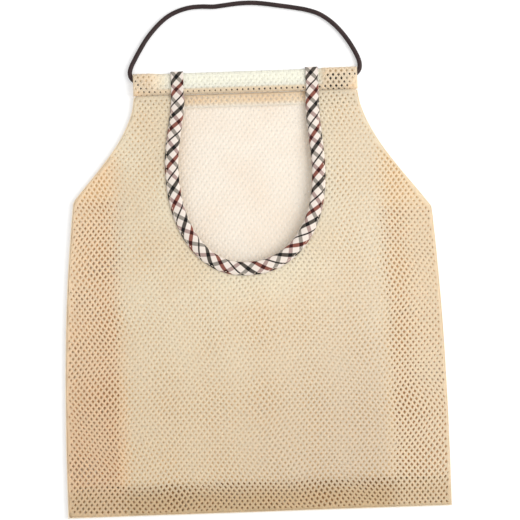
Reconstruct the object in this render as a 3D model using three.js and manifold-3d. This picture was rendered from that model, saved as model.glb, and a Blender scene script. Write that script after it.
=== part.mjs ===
import * as THREE from 'three';
import Module from 'manifold-3d';
import { mergeVertices } from 'three/addons/utils/BufferGeometryUtils.js';

// A net storage bag lying on its back, in millimetres.
// X runs across the bag, Y up the bag towards its hanging cord, Z up from the table.
// A depth is measured down the bag from its highest edge.

// Outline of the bag, whose right shoulder lies a little lower than its left one
const bagHeight = 420;
const hemWidth = 212;
const hemFlare = 2;
const leftShoulder = { depth: 121, half: 167.1 };
const rightShoulder = { depth: 136, half: 172.6 };
const shoulderHollow = 6.7;
const shoulderSkew = 1.5;
const baseWidth = 364;
const sideRound = 2.6;

// Cloth, tape and thread
const cloth = 0.8;
const gap = 0.3;
const crown = 8.5;
const seamBead = 1;
const seamLift = 0.15;

// Hem across the top
const casingHeight = 21.5;
const casingCorner = 1.4;
const casingEase = 6;
const bulgeReach = 11;
const facingHeight = 12.1;
const stripWidth = 14.5;
const stripThick = 1.5;
const stripLeftInset = 18;
const stripRightInset = 30;
const stripRound = 2.5;

// Mouth in the front panel and its bound edge
const tapeWidth = 12.4;
const tapeLeaf = 0.5;
const tapeFold = 1;
const mouthLeft = { top: 64.2, easeDepth: 20, wide: 72.2, wideDepth: 89 };
const mouthRight = { top: 62.8, easeDepth: 38, wide: 66.4, wideDepth: 98 };
const mouthDepth = 189;
const mouthLean = 5;
const mouthPower = 2.2;
const stitchThread = 0.6;
const stitchInset = 1.4;

// Pleats folded in at the sides and at the base
const sidePleat = 49;
const basePleat = 27;

// Cord, its knot and its free loop
const cordWidth = 4.4;
const cordExitDrop = 6.6;
const knotWidth = 8.8;
const knotLength = 14;
const knotTurns = 2;
const cordReturn = 3.15;

// How finely round shapes are cut
const cordSides = 8;
const cordSteps = 76;
const overrun = 5;

// Levels above the table that follow from the layers
const lowerLeaf = cloth + gap;
const upperLeaf = lowerLeaf + cloth + gap;
const frontEdge = upperLeaf + cloth + gap;
const top = bagHeight / 2;
const base = -top;
const casingInset = gap + tapeFold;
const casingEnd = casingInset + casingHeight;
const panelStart = casingEnd + gap;
const facingEnd = panelStart + facingHeight;
const casingFlat = cloth + gap + stripThick + gap + cloth;
const casingFull = cloth + gap + cordWidth + gap + cloth;
const cordLevel = cloth + gap + cordWidth / 2;
const bulgeRound = casingFull / 2;
const bulgeDepth = casingEnd - bulgeRound;
const stripMiddle = casingInset + cloth + gap + stripWidth / 2;
const seamInset = seamBead + gap;
const panelEnd = bagHeight - seamInset;
const mouthPlane = hemWidth / 2;
const stripLeft = stripLeftInset - mouthPlane;
const stripRight = mouthPlane - stripRightInset;

const lerp = THREE.MathUtils.lerp;
const smooth = THREE.MathUtils.smoothstep;

function yAt(depth) {
  return top - depth;
}

// From the middle to one side of the bag at a depth: a short hem, a hollow shoulder, then sides
// that flare gently.
function halfWidth(side, depth) {
  const shoulder = side < 0 ? leftShoulder : rightShoulder;
  if (depth <= facingEnd) {
    return hemWidth / 2 + hemFlare * Math.max(0, depth - casingEnd) / (facingEnd - casingEnd);
  }
  if (depth <= shoulder.depth) {
    const down = (depth - facingEnd) / (shoulder.depth - facingEnd);
    const deepest = 1 / (1 + shoulderSkew);
    const hollow = down * (1 - down) ** shoulderSkew / (deepest * (1 - deepest) ** shoulderSkew);
    return lerp(hemWidth / 2 + hemFlare, shoulder.half, down) - shoulderHollow * hollow;
  }
  const down = (depth - shoulder.depth) / (bagHeight - shoulder.depth);
  return baseWidth / 2 - (baseWidth / 2 - shoulder.half) * (1 - down) ** sideRound;
}

// Underside of the front panel: level at its sewn edges, puffed up in the middle.
function frontLevel(x, depth) {
  const across = THREE.MathUtils.clamp(x / halfWidth(x, depth), -1, 1);
  const along = THREE.MathUtils.clamp((depth - panelStart) / (bagHeight - panelStart), 0, 1);
  const rise = (1 - across ** 2) ** 2 * (1 - (2 * along - 1) ** 4);
  return frontEdge + crown * rise;
}

// A closed body from a list of corners and a list of triangles, turned to face outwards.
function body(corners, triangles) {
  let volume = 0;
  for (const [a, b, c] of triangles) {
    volume += corners[a].dot(corners[b].clone().cross(corners[c]));
  }
  const geometry = new THREE.BufferGeometry();
  geometry.setFromPoints(corners);
  geometry.setIndex(triangles.flatMap(([a, b, c]) => (volume > 0 ? [a, b, c] : [a, c, b])));
  geometry.computeVertexNormals();
  return geometry;
}

// Walls between rings of corners that follow one another; each ring is a closed loop.
function walls(first, count, rings, triangles, reverse = false) {
  for (let ring = 0; ring + 1 < rings; ring++) {
    for (let i = 0; i < count; i++) {
      const a = first + ring * count + i;
      const b = first + ring * count + (i + 1) % count;
      const c = a + count;
      const d = b + count;
      if (reverse) triangles.push([a, c, b], [b, c, d]);
      else triangles.push([a, b, c], [b, d, c]);
    }
  }
}

// A section carried along its stations, with both ends closed.
function sweep(outline, stations, place) {
  const section = THREE.ShapeUtils.isClockWise(outline) ? outline.toReversed() : outline;
  const corners = stations.flatMap((station) => section.map((point) => place(point, station)));
  const triangles = [];
  const last = (stations.length - 1) * section.length;
  walls(0, section.length, stations.length, triangles);
  for (const [a, b, c] of THREE.ShapeUtils.triangulateShape(section, [])) {
    triangles.push([b, a, c], [last + a, last + b, last + c]);
  }
  return body(corners, triangles);
}

// A hollow section carried along its stations, open at both ends.
function hollowSweep(outer, inner, stations, placeOuter, placeInner) {
  const count = outer.length;
  const corners = stations.flatMap((station) => outer.map((point) => placeOuter(point, station)));
  const innerStart = corners.length;
  corners.push(...stations.flatMap((station) => inner.map((point) => placeInner(point, station))));
  const triangles = [];
  walls(0, count, stations.length, triangles);
  walls(innerStart, count, stations.length, triangles, true);
  const last = (stations.length - 1) * count;
  for (let i = 0; i < count; i++) {
    const j = (i + 1) % count;
    triangles.push([i, innerStart + i, j], [j, innerStart + i, innerStart + j]);
    const a = last + i;
    const b = last + j;
    triangles.push([a, b, innerStart + a], [b, innerStart + b, innerStart + a]);
  }
  return body(corners, triangles);
}

// Depths at which the bag's edges turn, shared by all pieces that follow them.
const shoulderSteps = 9;
const sideSteps = 14;
const edgeDepths = [];
for (let i = 0; i <= shoulderSteps; i++) {
  edgeDepths.push(lerp(facingEnd, leftShoulder.depth, i / shoulderSteps));
}
for (let i = 0; i < sideSteps; i++) {
  edgeDepths.push(lerp(rightShoulder.depth, bagHeight, i / sideSteps));
}

function depthsBetween(start, end) {
  const inside = edgeDepths.filter((depth) => depth > start + gap && depth < end - gap);
  return [start, ...inside, end];
}

// A sheet of cloth between two depths, as wide as the bag less its seams, lying at the given level.
function sheet(across, start, end, level) {
  const depths = depthsBetween(start, end);
  const along = depths.length - 1;
  const corners = [];
  const triangles = [];
  const row = across + 1;
  const layer = row * depths.length;
  for (const lift of [0, cloth]) {
    for (const depth of depths) {
      const left = seamInset - halfWidth(-1, depth);
      const right = halfWidth(1, depth) - seamInset;
      for (let i = 0; i <= across; i++) {
        const x = lerp(left, right, i / across);
        corners.push(new THREE.Vector3(x, yAt(depth), level(x, depth) + lift));
      }
    }
  }
  const quad = (a, b, c, d) => triangles.push([a, b, c], [a, c, d]);
  for (let j = 0; j < along; j++) {
    for (let i = 0; i < across; i++) {
      const a = j * row + i;
      quad(a, a + 1, a + row + 1, a + row);
      quad(layer + a, layer + a + row, layer + a + row + 1, layer + a + 1);
    }
  }
  for (let i = 0; i < across; i++) {
    const low = along * row + i;
    quad(i, layer + i, layer + i + 1, i + 1);
    quad(low + 1, layer + low + 1, layer + low, low);
  }
  for (let j = 0; j < along; j++) {
    const left = j * row;
    const right = left + across;
    quad(left + row, layer + left + row, layer + left, left);
    quad(right, layer + right, layer + right + row, right + row);
  }
  return body(corners, triangles);
}

// Joining and cutting of closed bodies
const wasm = await Module();
wasm.setup();

function solid(geometry) {
  const bare = geometry.clone();
  bare.deleteAttribute('normal');
  bare.deleteAttribute('uv');
  const merged = mergeVertices(bare);
  return new wasm.Manifold(new wasm.Mesh({
    numProp: 3,
    vertProperties: new Float32Array(merged.attributes.position.array),
    triVerts: new Uint32Array(merged.index.array),
  }));
}

function geometryOf(manifold) {
  const mesh = manifold.getMesh();
  const geometry = new THREE.BufferGeometry();
  geometry.setAttribute('position', new THREE.BufferAttribute(mesh.vertProperties, mesh.numProp));
  geometry.setIndex(new THREE.BufferAttribute(mesh.triVerts, 1));
  geometry.computeVertexNormals();
  return geometry;
}

const bag = new THREE.Group();

function add(name, geometry, colour, roughness, metalness = 0) {
  const material = new THREE.MeshStandardMaterial({ color: colour, roughness, metalness });
  const mesh = new THREE.Mesh(geometry, material);
  mesh.name = name;
  bag.add(mesh);
  return mesh;
}

const netColour = 0xead7b8;
const foldedNetColour = 0xdcc19a;
const tapeColour = 0xe9e2d8;
const threadColour = 0xe6d6bc;
const stripColour = 0xf6f4ec;
const cordColour = 0x35221f;
const clothRoughness = 0.9;
const cordRoughness = 0.75;
const stripRoughness = 0.6;

// Centre line of the tape round the mouth: each side spreads a little, then follows a quarter of
// a full oval to the lowest place, which lies left of the middle.
const mouthSides = 7;
const mouthArc = 15;

function mouthHalf(side, depth) {
  const edge = side < 0 ? mouthLeft : mouthRight;
  return lerp(edge.top, edge.wide, smooth(depth, edge.easeDepth, edge.wideDepth));
}

function mouthSide(side, start) {
  const edge = side < 0 ? mouthLeft : mouthRight;
  const points = [];
  for (let i = 0; i < mouthSides; i++) {
    const depth = lerp(start, edge.wideDepth, i / mouthSides);
    points.push(new THREE.Vector2(side * mouthHalf(side, depth), yAt(depth)));
  }
  const reach = edge.wide + side * mouthLean;
  const drop = mouthDepth - edge.wideDepth;
  for (let i = 0; i < mouthArc; i++) {
    const turn = Math.PI / 2 * i / mouthArc;
    const out = side * reach * Math.cos(turn) ** (2 / mouthPower);
    const depth = edge.wideDepth + drop * Math.sin(turn) ** (2 / mouthPower);
    points.push(new THREE.Vector2(out - mouthLean, yAt(depth)));
  }
  return points;
}

function mouthLine(start) {
  const lowest = new THREE.Vector2(-mouthLean, yAt(mouthDepth));
  return [...mouthSide(-1, start), lowest, ...mouthSide(1, start).reverse()];
}

// The same line with the direction that points away from the mouth at each of its points.
function mouthStations(start) {
  const line = mouthLine(start);
  return line.map((point, i) => {
    const before = line[Math.max(i - 1, 0)];
    const after = line[Math.min(i + 1, line.length - 1)];
    const along = after.clone().sub(before).normalize();
    return { point, outward: new THREE.Vector2(along.y, -along.x) };
  });
}

function besideMouth(station, offset) {
  return station.point.clone().addScaledVector(station.outward, offset);
}

// Back panel: one layer of net, flat on the table.
add('back_panel', sheet(8, panelStart, panelEnd, () => 0), netColour, clothRoughness);

// Front panel: the same cut with the mouth taken out of it, puffed up over the goods inside.
const wholeFront = sheet(24, panelStart, panelEnd, frontLevel);
const cutEdge = tapeLeaf + gap - tapeWidth / 2;
const mouthShape = new THREE.Shape();
mouthStations(panelStart).forEach((station, i) => {
  const edge = besideMouth(station, cutEdge);
  if (i === 0) mouthShape.moveTo(edge.x, edge.y + overrun);
  mouthShape.lineTo(edge.x, edge.y);
  if (i === mouthStations(panelStart).length - 1) mouthShape.lineTo(edge.x, edge.y + overrun);
});
const mouthCut = new THREE.ExtrudeGeometry(mouthShape, {
  depth: frontEdge + crown + overrun,
  bevelEnabled: false,
});
const frontCut = solid(wholeFront).subtract(solid(mouthCut));
add('front_panel', geometryOf(frontCut), netColour, clothRoughness);

// Side pleats: one layer of net folded in half between the panels, its fold pointing inwards.
const foldRound = cloth / 2 + gap / 2;

function pleatProfile(depth) {
  const inner = depth - cloth;
  return [
    [0, lowerLeaf],
    [depth - foldRound, lowerLeaf],
    [depth, lowerLeaf + foldRound],
    [depth, upperLeaf + cloth - foldRound],
    [depth - foldRound, upperLeaf + cloth],
    [0, upperLeaf + cloth],
    [0, upperLeaf],
    [inner, upperLeaf],
    [inner, lowerLeaf + cloth],
    [0, lowerLeaf + cloth],
  ].map(([reach, level]) => new THREE.Vector2(reach, level));
}

const pleatEnd = panelEnd - basePleat - gap;
for (const [name, side] of [['left_gusset', -1], ['right_gusset', 1]]) {
  const shoulder = side < 0 ? leftShoulder : rightShoulder;
  const depths = depthsBetween(shoulder.depth + gap, pleatEnd);
  const pleat = sweep(pleatProfile(sidePleat), depths, (point, depth) => {
    const edge = halfWidth(side, depth) - seamInset;
    return new THREE.Vector3(side * (edge - point.x), yAt(depth), point.y);
  });
  add(name, pleat, foldedNetColour, clothRoughness);
}

// Base pleat: the same fold along the bottom edge.
const baseReach = baseWidth / 2 - seamInset;
const basePleatBody = sweep(pleatProfile(basePleat), [-baseReach, 0, baseReach], (point, x) => (
  new THREE.Vector3(x, base + seamInset + point.x, point.y)
));
add('base_gusset', basePleatBody, foldedNetColour, clothRoughness);

// Hem casing: a sleeve of net, flat over the strip and round over the cord in its lower edge. It
// is full from edge to edge at its ends, where the cord runs in.
const cornerSteps = 4;
const bulgeSteps = 10;
const bulgeTurn = Math.PI * 200 / 180;

// The sleeve cut across, as corners with a depth and a level: round the cord, up to where the
// flat part starts, then round the bag's top edge.
function sleeveSection(height, inset) {
  const points = [];
  for (let i = 0; i <= bulgeSteps; i++) {
    const turn = bulgeTurn * i / bulgeSteps;
    const reach = bulgeRound - inset;
    points.push([bulgeDepth + reach * Math.sin(turn), bulgeRound - reach * Math.cos(turn)]);
  }
  points.push([casingEnd - bulgeReach, height - inset]);
  const corner = casingCorner - inset;
  for (const [level, quarter] of [[height - casingCorner, 0], [casingCorner, 1]]) {
    for (let i = 0; i <= cornerSteps; i++) {
      const turn = Math.PI / 2 * (quarter + i / cornerSteps);
      const depth = casingInset + casingCorner - corner * Math.sin(turn);
      points.push([depth, level + corner * Math.cos(turn)]);
    }
  }
  return points;
}

const fullLeft = stripLeft - gap;
const fullRight = stripRight + gap;

function casingThickness(x) {
  const left = 1 - smooth(x, fullLeft, fullLeft + casingEase);
  const right = smooth(x, fullRight - casingEase, fullRight);
  return lerp(casingFlat, casingFull, Math.max(left, right));
}

const casingStations = [-mouthPlane, fullLeft];
const easeSteps = 5;
for (let i = 1; i <= easeSteps; i++) casingStations.push(fullLeft + casingEase * i / easeSteps);
for (let i = 0; i <= easeSteps; i++) {
  casingStations.push(fullRight - casingEase + casingEase * i / easeSteps);
}
casingStations.push(mouthPlane);

function placeSleeve(inset) {
  return (corner, x) => {
    const [depth, level] = sleeveSection(casingThickness(x), inset)[corner];
    return new THREE.Vector3(x, yAt(depth), level);
  };
}

const sleeveCorners = Array.from(sleeveSection(casingFlat, 0).keys());
const casing = hollowSweep(
  sleeveCorners,
  sleeveCorners,
  casingStations,
  placeSleeve(0),
  placeSleeve(cloth),
);
add('top_casing', casing, netColour, clothRoughness);

// Turned hem edge hanging below the casing, between the two panels.
const facing = sheet(4, panelStart, facingEnd, () => lowerLeaf);
add('hem_facing', facing, foldedNetColour, clothRoughness);

// Stiff strip that keeps the casing flat, above the cord.
const stripShape = new THREE.Shape();
stripShape.moveTo(stripLeft + stripRound, -stripWidth / 2);
stripShape.lineTo(stripRight - stripRound, -stripWidth / 2);
stripShape.quadraticCurveTo(stripRight, -stripWidth / 2, stripRight, stripRound - stripWidth / 2);
stripShape.lineTo(stripRight, stripWidth / 2 - stripRound);
stripShape.quadraticCurveTo(stripRight, stripWidth / 2, stripRight - stripRound, stripWidth / 2);
stripShape.lineTo(stripLeft + stripRound, stripWidth / 2);
stripShape.quadraticCurveTo(stripLeft, stripWidth / 2, stripLeft, stripWidth / 2 - stripRound);
stripShape.lineTo(stripLeft, stripRound - stripWidth / 2);
stripShape.quadraticCurveTo(stripLeft, -stripWidth / 2, stripLeft + stripRound, -stripWidth / 2);
const strip = new THREE.ExtrudeGeometry(stripShape, {
  depth: stripThick,
  bevelEnabled: false,
  curveSegments: 4,
});
const stripMesh = add('top_stiffener', strip, stripColour, stripRoughness);
stripMesh.position.set(0, yAt(stripMiddle), cloth + gap);

// Binding: a folded tape that holds the cut edge of the mouth, open on its outer side.
const innerHalf = cloth / 2 + gap;
const outerHalf = innerHalf + tapeLeaf;
const tapeRound = 2 * tapeLeaf;
const bindingSection = [
  [tapeWidth, outerHalf],
  [tapeRound, outerHalf],
  [0, innerHalf],
  [0, -innerHalf],
  [tapeRound, -outerHalf],
  [tapeWidth, -outerHalf],
  [tapeWidth, -innerHalf],
  [tapeLeaf, -innerHalf],
  [tapeLeaf, innerHalf],
  [tapeWidth, innerHalf],
].map(([reach, rise]) => new THREE.Vector2(reach, rise));

function onFront(spot, rise) {
  const level = frontLevel(spot.x, top - spot.y) + cloth / 2;
  return new THREE.Vector3(spot.x, spot.y, level + rise);
}

const bindingStart = panelStart + 2 * gap;
const boundEdge = sweep(bindingSection, mouthStations(bindingStart), (point, station) => (
  onFront(besideMouth(station, point.x - tapeWidth / 2), point.y)
));

// Each end of the tape runs on over the round and the flat part of the casing and folds down
// behind the bag's top edge.
function tapeEndProfile() {
  const bendDepth = casingInset + casingCorner;
  const bendLevel = casingFlat - casingCorner;
  const innerBend = casingCorner + gap;
  const outerBend = innerBend + tapeFold;
  const startLevel = frontEdge + cloth + gap + tapeLeaf / 2;
  const start = panelStart + tapeWidth / 2;
  const under = [[start, startLevel]];
  const over = [[start, startLevel + tapeLeaf]];
  for (const degrees of [45, 30, 15, 0, -20]) {
    const turn = THREE.MathUtils.degToRad(degrees);
    for (const [line, clear] of [[under, gap], [over, gap + tapeFold]]) {
      const reach = bulgeRound + clear;
      line.push([bulgeDepth + reach * Math.sin(turn), bulgeRound + reach * Math.cos(turn)]);
    }
  }
  under.push([casingEnd - bulgeReach, casingFlat + gap]);
  over.push([casingEnd - bulgeReach, casingFlat + gap + tapeFold]);
  for (let i = 0; i <= cornerSteps; i++) {
    const turn = Math.PI / 2 * i / cornerSteps;
    under.push([bendDepth - innerBend * Math.sin(turn), bendLevel + innerBend * Math.cos(turn)]);
    over.push([bendDepth - outerBend * Math.sin(turn), bendLevel + outerBend * Math.cos(turn)]);
  }
  under.push([bendDepth - innerBend, cloth]);
  over.push([bendDepth - outerBend, cloth]);
  return [...under, ...over.reverse()].map(([depth, level]) => new THREE.Vector2(depth, level));
}

function tapeEnd(side) {
  return sweep(tapeEndProfile(), [-tapeWidth / 2, tapeWidth / 2], (point, across) => {
    const depth = point.x;
    return new THREE.Vector3(side * mouthHalf(side, depth) + across, yAt(depth), point.y);
  });
}

const binding = solid(boundEdge).add(solid(tapeEnd(-1))).add(solid(tapeEnd(1)));
add('opening_binding', geometryOf(binding), tapeColour, clothRoughness);

// Row of thread that sews the tape down, near its outer edge.
const threadSides = 6;
const threadSection = Array.from({ length: threadSides }, (_, i) => {
  const turn = 2 * Math.PI * i / threadSides;
  return new THREE.Vector2(Math.cos(turn), Math.sin(turn)).multiplyScalar(stitchThread / 2);
});
const threadReach = tapeWidth / 2 - stitchInset;
const threadRise = outerHalf + gap / 2 + stitchThread / 2;
const threadStart = panelStart + tapeWidth;
const bindingStitch = sweep(threadSection, mouthStations(threadStart), (point, station) => (
  onFront(besideMouth(station, threadReach + point.x), threadRise + point.y)
));
add('binding_stitch', bindingStitch, threadColour, clothRoughness);

// Sewn edges: a narrow bead of overlocked thread where two layers meet.
function beadSection(low, high) {
  return [[0, low], [seamBead, low], [seamBead, high], [0, high]].map(([x, level]) => (
    new THREE.Vector2(x, level)
  ));
}

const seamLevels = [
  ['back', seamLift, lowerLeaf + cloth],
  ['front', upperLeaf, frontEdge + cloth],
];
for (const [layer, low, high] of seamLevels) {
  for (const [name, side] of [['left', -1], ['right', 1]]) {
    const depths = depthsBetween(panelStart, bagHeight);
    const bead = sweep(beadSection(low, high), depths, (point, depth) => (
      new THREE.Vector3(side * (halfWidth(side, depth) - point.x), yAt(depth), point.y)
    ));
    add(`${name}_${layer}_seam`, bead, threadColour, clothRoughness);
  }
  const bead = sweep(beadSection(low, high), [-baseReach, baseReach], (point, x) => (
    new THREE.Vector3(x, base + point.x, point.y)
  ));
  add(`base_${layer}_seam`, bead, threadColour, clothRoughness);
}

// Cord. From the left mouth of the casing it runs along the lower edge, under the strip, and turns
// back at the right, where one knot ties it to the end that comes in by the right mouth.
const cordRunY = yAt(bulgeDepth);
const cordExitY = yAt(cordExitDrop);
const cordCircle = new THREE.Shape();
for (let i = 0; i < cordSides; i++) {
  const turn = 2 * Math.PI * (i + 0.5) / cordSides;
  const x = cordWidth / 2 * Math.cos(turn);
  const y = cordWidth / 2 * Math.sin(turn);
  if (i === 0) cordCircle.moveTo(x, y);
  else cordCircle.lineTo(x, y);
}

function cordTube(points, steps) {
  const path = new THREE.CatmullRomCurve3(points, false, 'centripetal');
  return new THREE.ExtrudeGeometry(cordCircle, { steps, bevelEnabled: false, extrudePath: path });
}

// The free loop of the cord, as it lies: a list of places from the left mouth to the right one.
const cordRoute = [
  [-104.4, 201.9, 3.3],
  [-106.3, 203.4, 3.3],
  [-108.3, 206.2, 3.2],
  [-109.0, 210.2, 2.9],
  [-107.6, 215.6, 2.5],
  [-104.0, 222.6, 2.25],
  [-98.4, 232.2, 2.25],
  [-92.4, 241.4, 2.25],
  [-85.4, 249.9, 2.25],
  [-77.6, 257.6, 2.25],
  [-69.6, 263.4, 2.25],
  [-60.0, 267.7, 2.25],
  [-49.8, 270.2, 2.25],
  [-38.4, 270.8, 2.25],
  [-27.2, 270.3, 2.25],
  [-16.0, 271.4, 2.25],
  [-3.4, 272.6, 2.25],
  [9.4, 272.7, 2.25],
  [22.0, 271.3, 2.25],
  [35.4, 269.1, 2.25],
  [48.2, 266.9, 2.25],
  [60.0, 264.4, 2.25],
  [71.6, 260.3, 2.25],
  [82.4, 253.0, 2.25],
  [91.8, 243.4, 2.25],
  [99.6, 232.6, 2.25],
  [105.2, 222.6, 2.25],
  [108.2, 215.4, 2.5],
  [109.0, 210.2, 2.9],
  [108.3, 206.2, 3.2],
  [106.3, 203.4, 3.3],
  [104.4, 201.9, 3.3],
].map(([x, y, z]) => new THREE.Vector3(x, y, z));

// Both ends of the loop are cut square to the casing, so that it can swing about its own ends.
const clearReach = mouthPlane + gap;
const mouthBlock = new THREE.BoxGeometry(2 * clearReach, 2 * cordWidth, 2 * cordWidth);
mouthBlock.translate(0, cordExitY, cordLevel);
const loop = solid(cordTube(cordRoute, cordSteps)).subtract(solid(mouthBlock));
add('hanging_cord', geometryOf(loop), cordColour, cordRoughness);

// The two parts of the cord inside the casing, cut off level with its mouths. Both end at the
// knot, which lies beyond the right end of the strip.
const knotStart = stripRight + gap;
const knotEnd = knotStart + knotLength;
const lowTailY = cordRunY + 2 * cordReturn;
const highTailY = lowTailY + cordWidth + gap;
const returnX = knotEnd + cordReturn;
const returnSteps = 6;
const runRoute = [
  [-99.5, 196.9],
  [-94.6, 192.6],
  [-90.3, 190.8],
  [-86, cordRunY],
  [0, cordRunY],
  [knotStart, cordRunY],
];
for (let i = 0; i <= returnSteps; i++) {
  const turn = Math.PI * i / returnSteps;
  const y = cordRunY + cordReturn * (1 - Math.cos(turn));
  runRoute.push([returnX + cordReturn * Math.sin(turn), y]);
}
runRoute.push([knotEnd + gap, lowTailY]);
const tailRoute = [[knotEnd + 2 * cordReturn, highTailY], [knotEnd + gap, highTailY]];

const outsideReach = 2 * cordWidth;
for (const { name, side, outside, route, steps } of [
  { name: 'cord_run', side: -1, outside: cordRoute.slice(0, 3).reverse(), route: runRoute, steps: 96 },
  { name: 'cord_tail', side: 1, outside: cordRoute.slice(-3), route: tailRoute, steps: 10 },
]) {
  const inside = route.map(([x, y]) => new THREE.Vector3(x, y, cordLevel));
  const tube = cordTube([...outside, ...inside], steps);
  const beyond = new THREE.BoxGeometry(2 * outsideReach, 2 * outsideReach, 2 * cordWidth);
  beyond.translate(side * (mouthPlane + outsideReach), cordExitY, cordLevel);
  const held = solid(tube).subtract(solid(beyond));
  add(name, geometryOf(held), cordColour, cordRoughness);
}

// Knot: both parts tied together, two turns side by side, flattened inside the casing.
const knotSteps = 6;
const knotSides = 12;
const knotWaist = cordWidth / 3;
const knotProfile = [new THREE.Vector2(0, 0)];
for (let i = 0; i <= knotSteps * knotTurns; i++) {
  const swell = Math.abs(Math.sin(Math.PI * i / knotSteps));
  const radius = lerp(knotWaist, cordWidth / 2, swell ** 0.6);
  knotProfile.push(new THREE.Vector2(radius, knotLength * i / (knotSteps * knotTurns)));
}
knotProfile.push(new THREE.Vector2(0, knotLength));
const knot = new THREE.LatheGeometry(knotProfile, knotSides);
const knotMesh = add('cord_knot', knot, cordColour, cordRoughness);
knotMesh.scale.x = knotWidth / cordWidth;
knotMesh.rotation.z = Math.PI / 2;
knotMesh.position.set(knotEnd, (lowTailY + highTailY) / 2, cordLevel);

export default bag;
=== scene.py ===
import math

import bmesh
import bpy
from mathutils import Matrix, Vector, kdtree
from mathutils.geometry import interpolate_bezier


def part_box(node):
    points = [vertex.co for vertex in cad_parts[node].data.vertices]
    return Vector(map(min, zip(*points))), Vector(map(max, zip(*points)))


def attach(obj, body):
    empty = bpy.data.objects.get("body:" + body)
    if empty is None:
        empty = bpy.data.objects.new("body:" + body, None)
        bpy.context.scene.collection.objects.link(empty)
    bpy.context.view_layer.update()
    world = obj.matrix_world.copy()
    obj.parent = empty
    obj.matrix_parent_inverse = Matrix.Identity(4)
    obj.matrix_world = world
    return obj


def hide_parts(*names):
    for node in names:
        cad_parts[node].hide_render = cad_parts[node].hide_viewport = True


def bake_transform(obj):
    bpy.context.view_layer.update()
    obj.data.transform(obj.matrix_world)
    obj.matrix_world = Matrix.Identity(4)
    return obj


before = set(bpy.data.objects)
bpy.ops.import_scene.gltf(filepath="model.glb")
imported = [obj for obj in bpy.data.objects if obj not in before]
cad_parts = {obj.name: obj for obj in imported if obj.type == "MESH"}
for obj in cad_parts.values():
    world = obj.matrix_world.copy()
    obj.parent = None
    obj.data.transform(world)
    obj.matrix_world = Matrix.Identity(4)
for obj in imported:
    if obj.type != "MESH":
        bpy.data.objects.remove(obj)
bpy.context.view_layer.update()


# The picture: the bag lies on a white table and is seen from straight above, a little turned.
# One pixel is 0.95 mm, and the picture is a square of 520 pixels.
PIXELS, PIXEL = 520, 0.00095
VIEW_WIDTH = PIXELS * PIXEL
VIEW_CENTRE = (0.0081, 0.0287)
VIEW_TURN = math.radians(-2)
LENS, SENSOR = 90, 36

camera = bpy.data.objects.new("camera", bpy.data.cameras.new("camera"))
camera.data.lens = LENS
camera.data.sensor_width = SENSOR
camera.location = (*VIEW_CENTRE, VIEW_WIDTH * LENS / SENSOR)
camera.rotation_euler = (0, 0, VIEW_TURN)
bpy.context.scene.collection.objects.link(camera)
bpy.context.scene.camera = camera
bpy.context.scene.view_settings.view_transform = "Standard"


class Signal:
    """A shader socket that can be used in sums: each operator adds the Math node for it."""

    def __init__(self, finish, socket):
        self.finish, self.socket = finish, socket

    def math(self, operation, *values):
        return self.finish.node("Math", {"operation": operation}, dict(enumerate(values)))

    def __add__(self, other):
        return self.math("ADD", self, other)

    def __sub__(self, other):
        return self.math("SUBTRACT", self, other)

    def __mul__(self, other):
        return self.math("MULTIPLY", self, other)

    def __truediv__(self, other):
        return self.math("DIVIDE", self, other)

    def __mod__(self, other):
        return self.math("FLOORED_MODULO", self, other)

    def __radd__(self, other):
        return self.math("ADD", other, self)

    def __rsub__(self, other):
        return self.math("SUBTRACT", other, self)

    def __rmul__(self, other):
        return self.math("MULTIPLY", other, self)

    def __abs__(self):
        return self.math("ABSOLUTE", self)

    def most(self, other):
        return self.math("MAXIMUM", self, other)

    def step(self, low, high):
        """0 at low, 1 at high and smooth between them; high may be the smaller of the two."""
        ends = {"Value": self, "From Min": min(low, high), "From Max": max(low, high)}
        ends.update({"To Min": float(low > high), "To Max": float(low < high)})
        return self.finish.node("MapRange", {"interpolation_type": "SMOOTHSTEP"}, ends)

    def mix(self, first, second):
        """The first colour where this is 0 and the second where it is 1."""
        return self.finish.node("Mix", {"data_type": "RGBA"}, {0: self, 6: first, 7: second}, 2)


class Finish:
    """A node tree with its main shader, and one method that adds any node to it."""

    def __init__(self, tree, shader):
        self.tree, self.shader = tree, tree.nodes[shader]

    def put(self, socket, value):
        if isinstance(value, Signal):
            self.tree.links.new(value.socket, socket)
        else:
            socket.default_value = value

    def node(self, kind, settings=None, inputs=None, output=0):
        made = self.tree.nodes.new("ShaderNode" + kind)
        for name, value in (settings or {}).items():
            setattr(made, name, value)
        for name, value in (inputs or {}).items():
            self.put(made.inputs[name], value)
        return Signal(self, made.outputs[output])

    def feed(self, **values):
        for name, value in values.items():
            self.put(self.shader.inputs[name.replace("_", " ")], value)


def finish_named(name, **values):
    """A new material with these values on its shader."""
    material = bpy.data.materials.new(name)
    material.use_nodes = True
    finish = Finish(material.node_tree, "Principled BSDF")
    finish.material = material
    finish.feed(**values)
    return finish


def shade(red, green, blue):
    """A colour as the eye names it, from 0 to 255, as the share of light that it reflects."""
    return (*(((part / 255 + 0.055) / 1.055) ** 2.4 for part in (red, green, blue)), 1)


def seen(finish):
    """1 for what the camera sees, straight, in gloss or through glass, and 0 for other light."""
    camera_ray, gloss, glass = (finish.node("LightPath", output=f"Is {name} Ray") for name in (
        "Camera", "Glossy", "Transmission"))
    return camera_ray.most(gloss).most(glass)


def piece(name, mesh, finish):
    """The finished mesh as a smooth object of that name, in its place."""
    made = bpy.data.objects.new(name, bpy.data.meshes.new(name))
    for face in mesh.faces:
        face.smooth = True
    mesh.to_mesh(made.data)
    mesh.free()
    made.data.materials.append(finish.material)
    bpy.context.scene.collection.objects.link(made)
    return made


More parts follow.
